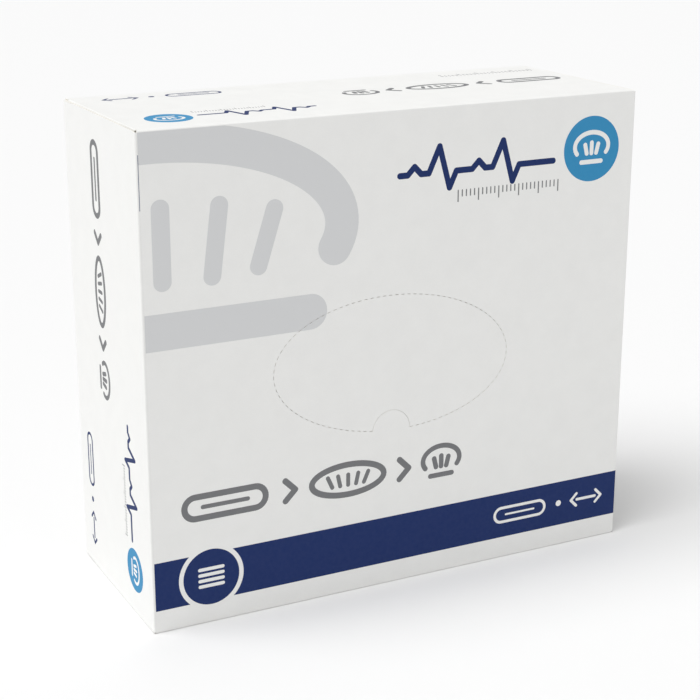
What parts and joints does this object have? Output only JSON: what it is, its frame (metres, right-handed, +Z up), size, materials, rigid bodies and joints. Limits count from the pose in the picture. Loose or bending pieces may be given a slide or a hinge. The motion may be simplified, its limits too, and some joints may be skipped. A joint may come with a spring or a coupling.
{
  "type": "dispenser carton",
  "caption": "Closed white board carton for folded disposable caps, with flaps at both ends and a perforated oval in the front that tears out for the hand.",
  "frame": {"origin": "centre of the base, on the surface that the carton stands on", "axes": "+Z up, +X along the carton's length towards the right end, -Y towards the front panel with the tear-out"},
  "size_m": [0.254, 0.098, 0.231],
  "materials": {
    "white_board": "coated white folding board, satin",
    "navy_ink": "offset print in navy on coated board, satin",
    "grey_ink": "offset print in mid grey on coated board, satin",
    "pale_grey_ink": "offset tint in pale grey on coated board, satin",
    "sky_blue_ink": "offset print in sky blue on coated board, satin"
  },
  "bodies": {
    "root": {"carton_sleeve": "white_board", "tear_out_panel": "white_board", "left_outer_flap": "white_board", "left_inner_flap": "white_board", "left_dust_flap_top": "white_board", "left_dust_flap_bottom": "white_board", "right_outer_flap": "white_board", "right_inner_flap": "white_board", "right_dust_flap_top": "white_board", "right_dust_flap_bottom": "white_board"}
  },
  "joints": []
}
